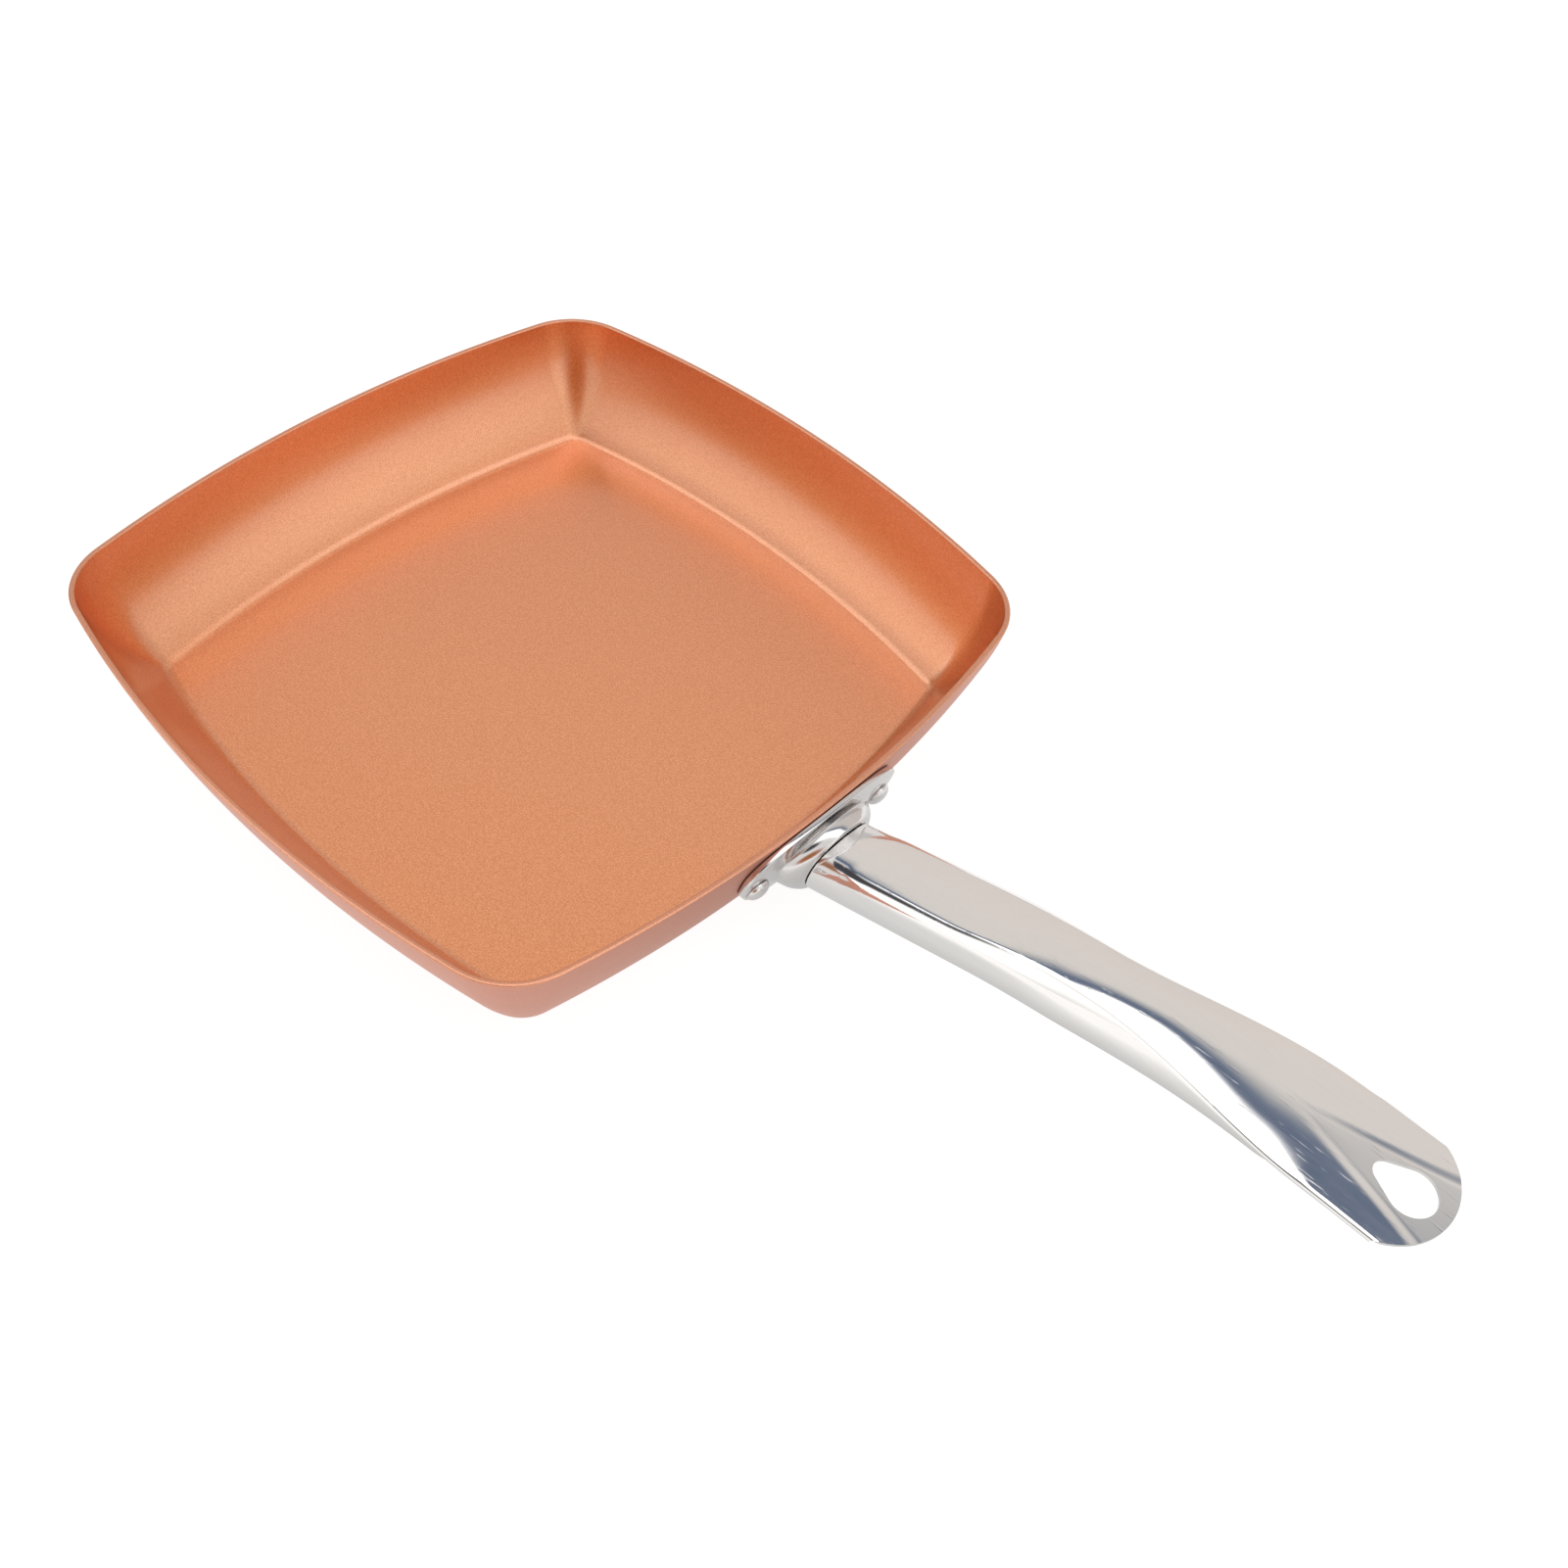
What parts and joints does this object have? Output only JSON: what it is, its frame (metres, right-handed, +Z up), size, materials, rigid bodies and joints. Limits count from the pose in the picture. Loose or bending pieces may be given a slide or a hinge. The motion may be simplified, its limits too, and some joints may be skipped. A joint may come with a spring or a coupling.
{
  "type": "square frying pan",
  "caption": "Square frying pan with bowed sides, rounded corners and sloping walls, a riveted steel bracket and a hollow steel handle that flattens to a tail with a hang hole.",
  "frame": {"origin": "middle of the underside of the base, on the plane it stands on", "axes": "+X from the pan's middle towards the handle, +Y to the left seen from behind the pan looking along +X, +Z up"},
  "size_m": [0.43, 0.24, 0.0639],
  "materials": {
    "copper_coating": "satin copper-coloured ceramic coating with a fine speckle",
    "polished_steel": "mirror-polished stainless steel",
    "base_steel": "fine concentric brushing"
  },
  "bodies": {
    "root": {"pan_body": "copper_coating", "base_plate": "base_steel", "handle_bracket": "polished_steel", "handle_tube": "polished_steel", "rivet_left": "polished_steel", "rivet_right": "polished_steel"}
  },
  "joints": []
}
